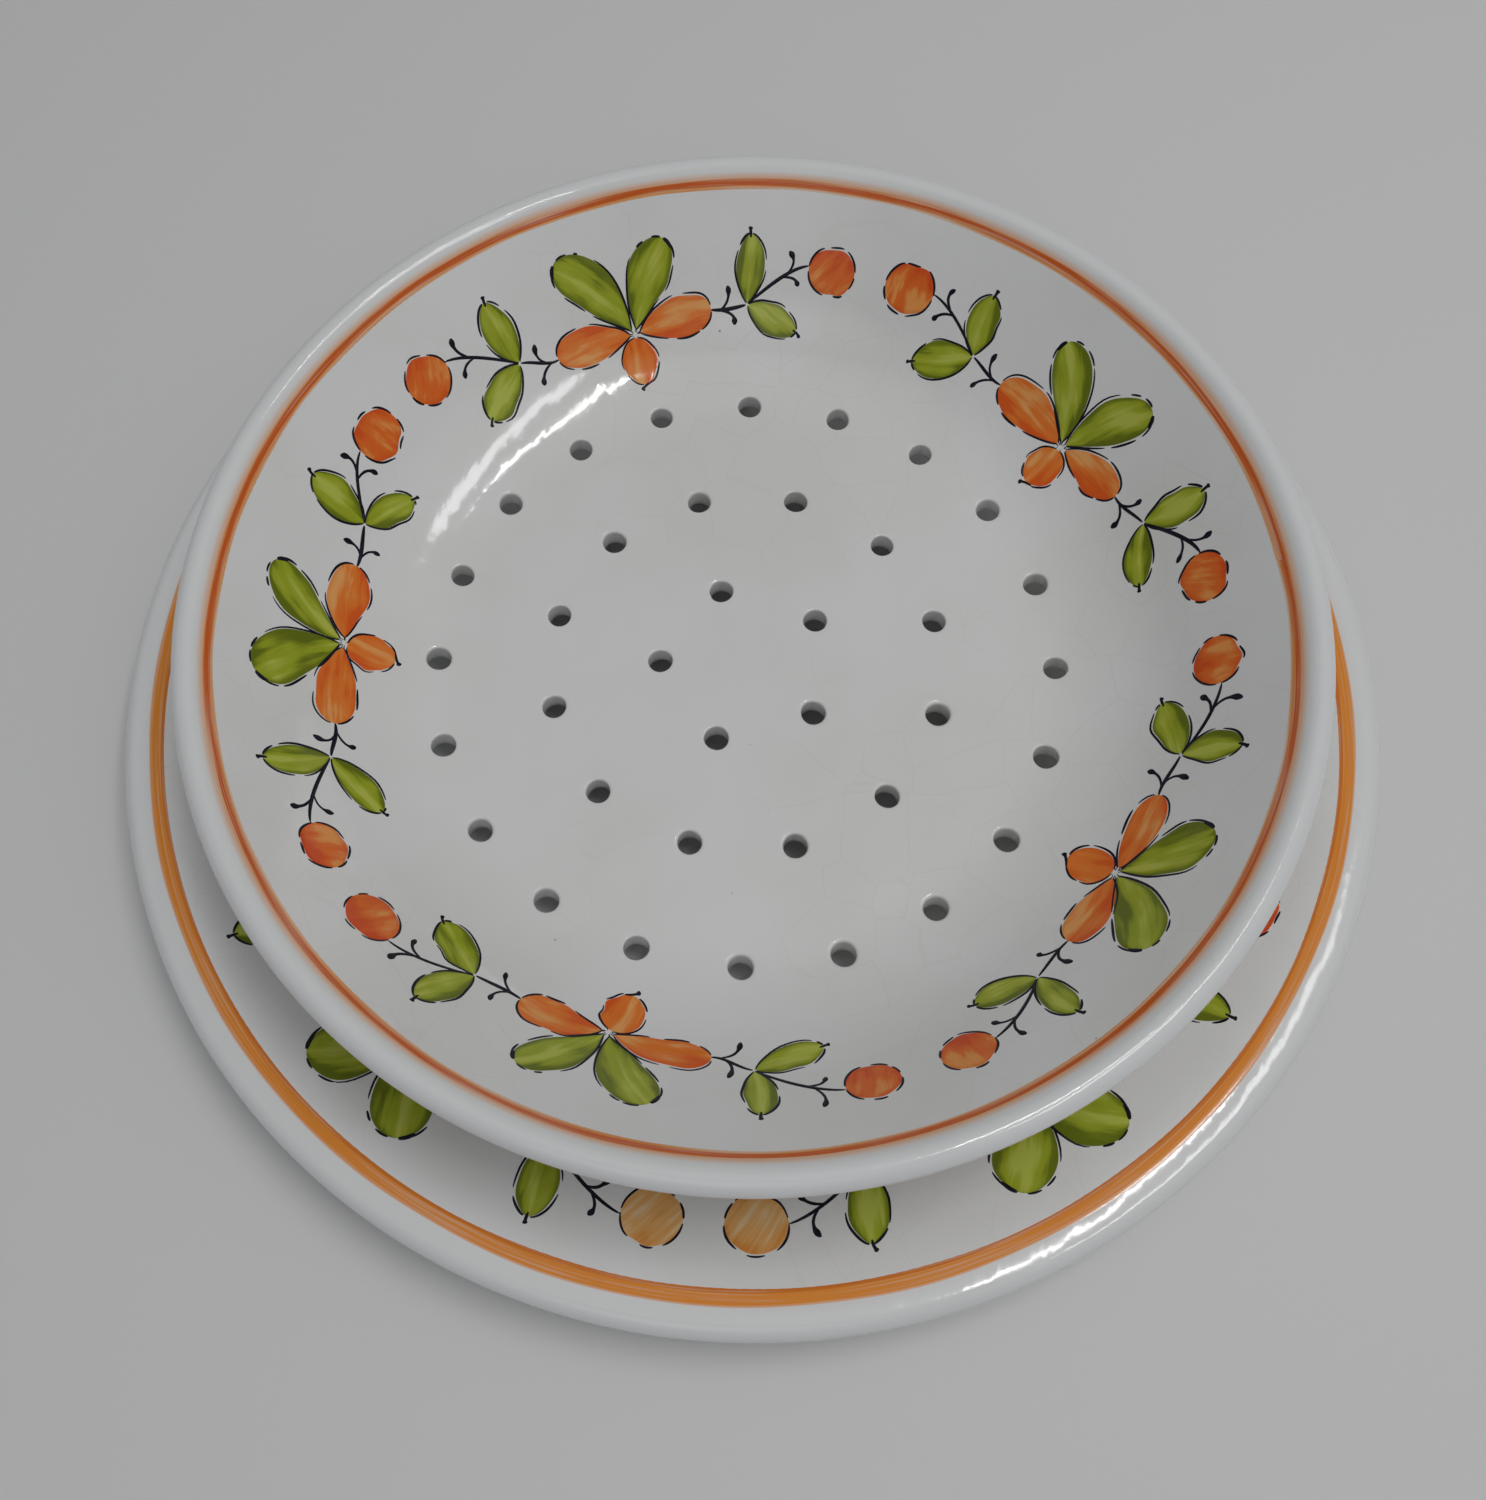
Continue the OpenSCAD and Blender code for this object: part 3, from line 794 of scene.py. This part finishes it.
def part_of(line, at, start, stop):
    """The part of a line (n, 2) from start to stop, where at tells the place of each of its points."""
    wanted = np.linspace(start, stop, LINE_POINTS)
    return np.stack([np.interp(wanted, at, values) for values in line.T], 1)


def ink_round(kind, lead, dashes, hand, u, stroke, rng):
    """Lines of ink, as (points, half width, dab near the end), for a stroke of paint: a broken line round
    it, and at its tip a darker edge on a leaf, a tail along a small leaf, or one across the middle petal.
    hand is -1 for a stroke on its spray's left, 1 on its right, and 0 in the middle."""
    middle, side, left, right = stroke
    way_round = np.arccos(1 - 2 * u) / np.pi
    inked = []

    def beside(sign, gap):
        return middle + sign * ((left if sign > 0 else right) + gap)[:, None] * side

    first_side = 1 if hand > 0 else -1
    for runs, sign in zip(dashes, (first_side, -first_side)):
        edge = beside(sign, (rng.uniform(-0.08, 0.32) + rng.uniform(0.0, 0.4) * u) * MM)
        for run in runs:
            start, stop = np.clip(run + rng.normal(0, dash_slip, 2), 0, 1)
            line = part_of(edge, way_round, start, stop)
            if start < 0.03 and kind != "berry":
                line[0] -= unit(middle[3] - middle[0]) * lead * 0.9 * MM
            inked.append((line, rng.uniform(0.27, 0.37) * MM, 0))
    point, across, ahead = middle[-1], side[-1] * MM, unit(middle[-1] - middle[-6]) * MM
    if kind == "leaf":
        edge = beside(1 if hand * across[0] > 0 else -1, -0.1 * MM)
        inked.append((part_of(edge, way_round, 0.84, 0.985), 0.58 * MM, 0))
    elif kind in ("outer", "inner"):
        lean = hand if kind == "outer" else -hand
        tail = [point - ahead * 1.2, point, point + ahead * 0.9 + across * lean * 0.2,
                point + ahead * 1.7 + across * rng.normal(0, 0.5)]
        inked.append((cubic(tail), 0.4 * MM, 0.32 * MM))
    elif kind == "drop":
        tail = [point - ahead * 0.6 + across * 2.6, point - ahead * 0.1 + across * 0.8,
                point + ahead * 0.5 - across * 0.6, point + ahead * 1.6 - across * 1.3]
        inked.append((cubic(tail), 0.4 * MM, 0.5 * MM))
    return inked


def stems(tip, fork, berry, hand, rng):
    """Lines of ink for one half of a spray: petal tip to fork, fork to the berry's edge, and two pairs of
    curled tendrils that leave them."""
    out = np.array([hand, 1.0])
    rim = berry[:2] + out * (-berry[2] + 0.3, 0.8)
    first = [tip - out * (0.4, 0), tip + out * (3.4, -0.6), fork + out * (-3.6, -0.9), fork]
    second = [fork, fork + out * (5.6, 4.2), rim + out * (-4.8, -0.8), rim]
    inked = [(cubic(first), 0.55, 0), (cubic(second), 0.5, 0)]
    for stem, at, bow, mid, end in (
            (first, 0.24, (2.0, 0.6), (3.6, 2.6), (2.2, 5.8)),
            (first, 0.2, (2.6, -0.5), (4.6, -1.6), (4.9, -4.6)),
            (second, 0.6, (1.8, 1.6), (3.0, 3.6), (1.3, 6.4)),
            (second, 0.54, (2.4, 0.3), (4.4, -0.4), (5.3, -2.7))):
        start = cubic(stem, np.array([at]))[0]
        curl = [start, start + out * bow, start + out * mid + rng.normal(0, 1, 2) * 0.3,
                start + out * end + rng.normal(0, 1, 2) * 0.5]
        inked.append((cubic(curl), 0.38, 0.55))
    return inked


def garland(prefix, ground, marks, scale_r, node_at, paints, seed):
    """A garland on one piece. Each mark's flat stroke is laid down at its spray's angle round the piece,
    with y counted from node_at along the face, and ink follows the strokes' own edges."""
    rng = np.random.default_rng(seed)
    sprays = all_sprays(marks, rng)
    count = len(sprays["angle"])
    origin = np.stack([-np.radians(sprays["angle"]) * scale_r / MM, np.full(count, node_at / MM)], 1)
    inked, numbered = [], 0
    for kind, (root, end, lead, swayed, *dashes) in blade_kinds.items():
        spots = sprays[kind].reshape(count, -1, 3)
        tip, half = spots[..., :2], spots[..., 2] * (1.08 if kind == "drop" else 1.0)
        hand = np.broadcast_to([0] if kind == "drop" else [-1, 1], half.shape)
        if kind == "berry":
            out = np.stack([hand, 0 * hand], -1) * half[..., None]
            base, tip = tip - out, tip + out
        else:
            root_at = sprays["fork"] if kind in ("outer", "inner") else sprays["node"][:, None]
            base = root_at + unit(tip - root_at) * lead
        sway = swayed * hand + rng.normal(0, 0.3, half.shape)
        base, tip = ((points + origin[:, None]).reshape(-1, 2) * MM for points in (base, tip))
        half, sway, hand = half.ravel() * MM, sway.ravel() * MM, hand.ravel()
        u, *strokes = blades(base, tip, half, root, end, sway, rng)
        grain = rng.uniform(0.9, 1.9, len(base)) if kind == "berry" else rng.normal(0, 0.1, len(base))
        numbers = numbered + np.arange(len(base))
        numbered += len(base)
        for paint_name, material, pick in paints[kind]:
            painted(prefix + "_" + paint_name, ground, scale_r, [values[pick] for values in strokes],
                    BLADE_ROWS, brush_thick, material, numbers[pick], grain[pick])
        for k, stroke in enumerate(zip(*strokes)):
            inked += ink_round(kind, lead, dashes, hand[k], u, stroke, rng)
    for s in range(count):
        for h, hand in enumerate((-1, 1)):
            tip, fork, berry = (sprays[kind][s, h] for kind in ("petal", "fork", "berry"))
            for points, half, dab in stems(tip[:2], fork, berry, hand, rng):
                half *= (1 + rng.normal(0, 0.08)) * MM
                dab *= (1 + rng.normal(0, 0.12)) * MM
                inked.append(((points + origin[s]) * MM, half, dab))
    lines, widths, dabs = map(np.array, zip(*inked))
    press = np.sin(np.pi * np.clip(line_t, 0.035, 0.965)) ** 0.35
    half = widths[:, None] * press + dabs[:, None] * np.exp(-(((line_t - 0.86) / 0.12) ** 2))
    half[:, [0, -1]] = 0.07 * MM
    strokes = (lines, leftward(np.gradient(lines, axis=1)), half, half)
    painted(prefix + "_inkwork", ground, scale_r, strokes, LINE_ROWS, ink_thick, ink_paint,
            numbered + np.arange(len(lines)), np.zeros(len(lines)))


brush_paint = paint_group()
leaf_paint = surface("green_leaf_paint", brush_paint, {
    "Thin": (0.50, 0.55, 0.085, 1), "Body": (0.35, 0.41, 0.02, 1), "Thick": (0.14, 0.175, 0.004, 1),
    "Streak width": 2.2, "Streak length": 0.05, "Pooling": 0.85, "Lean": 0.14}, paint_shine)
petal_paint = surface("orange_petal_paint", brush_paint, {
    "Thin": (0.86, 0.40, 0.125, 1), "Body": (0.83, 0.21, 0.028, 1), "Thick": (0.76, 0.11, 0.011, 1),
    "Streak width": 2.0, "Streak length": 0.07, "Pooling": 0.35, "Lean": 0.12}, paint_shine)
berry_paint = surface("orange_berry_paint", brush_paint, {
    "Thin": (0.85, 0.34, 0.085, 1), "Body": (0.80, 0.155, 0.018, 1), "Thick": (0.70, 0.075, 0.008, 1),
    "Streak width": 2.2, "Streak length": 0.12, "Pooling": 0.4, "Lean": 0.1}, paint_shine)
amber_paint = surface("amber_berry_paint", brush_paint, {
    "Thin": (0.86, 0.60, 0.32, 1), "Body": (0.82, 0.43, 0.14, 1), "Thick": (0.72, 0.27, 0.045, 1),
    "Streak width": 1.2, "Streak length": 0.07, "Pooling": 0.25, "Lean": 0.08}, paint_shine)
ink_paint = surface("dark_ink", brush_paint, {
    "Thin": (0.018, 0.017, 0.034, 1), "Body": (0.009, 0.009, 0.018, 1), "Thick": (0.005, 0.005, 0.01, 1),
    "Streak width": 0.8, "Streak length": 0.2, "Pooling": 0.2, "Lean": 0.0},
    {"Roughness": 0.1, "Specular IOR Level": 0.18})
bowl_paints = {kind: [(name, material, slice(None))] for kind, name, material in (
    ("leaf", "leaves", leaf_paint), ("petal", "petals", petal_paint), ("drop", "drops", petal_paint),
    ("outer", "outer_leaves", leaf_paint), ("inner", "inner_leaves", leaf_paint),
    ("berry", "berries", berry_paint))}
plate_paints = {**bowl_paints, "berry": [("amber_berries", amber_paint, [0, 3]),
                                         ("berries", berry_paint, [1, 2, 4, 5, 6, 7, 8, 9])]}
garland("bowl", bowl_surface, bowl_marks, bowl_scale_r, bowl_node_at, bowl_paints, 5)
garland("plate", plate_surface, plate_marks, plate_scale_r, plate_node_at, plate_paints, 11)

# Stage. A plain pale floor in a dim room, two wide glowing panels, and a strip light and a window light
# that the glaze mirrors. The camera stands at the photograph's own angle.
sky_glow = 0.18
eye_target = np.array([-12.82, -35.27, 56.5]) * MM
eye_distance = 284.94 * MM
rise_cos, rise_sin = way(67.7)
roll_cos, roll_sin = way(3.6)
eye_back = np.array([0, -rise_cos, rise_sin])
level_right, level_up = np.array([1, 0, 0]), np.array([0, rise_sin, rise_cos])
eye_right = roll_cos * level_right - roll_sin * level_up
eye_up = roll_sin * level_right + roll_cos * level_up


def facing(place, aim):
    """Directions across, up and back of a thing at place that looks at aim."""
    back = unit(np.subtract(place, aim))
    across = unit(np.cross((0, 0, 1), back))
    return across, np.cross(back, across), back


def sheet(name, middle, one_way, other_way, material):
    """A four-sided sheet about middle that reaches as far as both ways on either side."""
    corners = [middle + i * one_way + j * other_way for i, j in ((-1, -1), (-1, 1), (1, 1), (1, -1))]
    mesh = bpy.data.meshes.new(name)
    mesh.from_pydata(corners, [], [(0, 1, 2, 3)])
    mesh.materials.append(material)
    thing = placed(name, mesh)
    return thing


def softbox(name, place, aim, width, depth, watts, colour):
    """A rectangular soft light at place that looks at aim."""
    light = bpy.data.lights.new(name, "AREA")
    light.shape = "RECTANGLE"
    light.size = width
    light.size_y = depth
    light.energy = watts
    light.color = colour
    placed(name, light, place, facing(place, aim))


def glow_panel(name, place, radius, strength, colour):
    """A diffuser at place that faces the origin. Its light fades smoothly to the room's at its edge, so
    that the glaze mirrors no hard shape."""
    across, up, _ = facing(place, (0, 0, 0))
    material, shader = new_material(name, {"Base Color": (0, 0, 0, 1), "Emission Color": (*colour, 1)})
    tree = material.node_tree
    spot = node(tree, "TexCoord", output="Object")
    off = node(tree, "VectorMath", [(0, spot), (1, place)], "Value", operation="DISTANCE")
    glow = steps(off, 0.0, radius, strength, sky_glow)
    tree.links.new(glow.socket, shader.inputs["Emission Strength"])
    panel = sheet(name, np.array(place), radius * across, radius * up, material)
    panel.visible_camera = False


camera = placed("camera", bpy.data.cameras.new("camera"), eye_target + eye_distance * eye_back,
                (eye_right, eye_up, eye_back))
camera.data.sensor_width = 36
camera.data.lens = 32.888
camera.data.shift_x = 0.0306
camera.data.clip_start = 0.01
bpy.context.scene.camera = camera
floor_paint, _ = new_material("pale_floor", {"Base Color": (0.78, 0.78, 0.785, 1), "Roughness": 0.7})
sheet("studio_floor", np.zeros(3), np.array([0, 6.0, 0]), np.array([6.0, 0, 0]), floor_paint)
glow_panel("overhead_panel", (0.48, -0.3, 1.74), 2.1, 0.73, (1.0, 0.995, 0.985))
glow_panel("front_panel", (-0.2, -1.0, 1.3), 0.75, 1.05, (0.98, 0.99, 1.0))
softbox("strip_light", (0.365, 0.08, 1.6), (0.055, 0.158, 0), 0.58, 0.036, 2.6, (1.0, 0.99, 0.97))
softbox("window_light", (0.62, -0.06, 1.5), (0.06, -0.02, 0.03), 0.9, 0.12, 2.9, (1.0, 1.0, 1.0))
world = bpy.data.worlds.new("studio")
bpy.context.scene.world = world
world.use_nodes = True
room = world.node_tree.nodes["Background"].inputs
room["Color"].default_value = (0.94, 0.97, 1.0, 1)
room["Strength"].default_value = sky_glow
bpy.context.scene.view_settings.view_transform = "Standard"
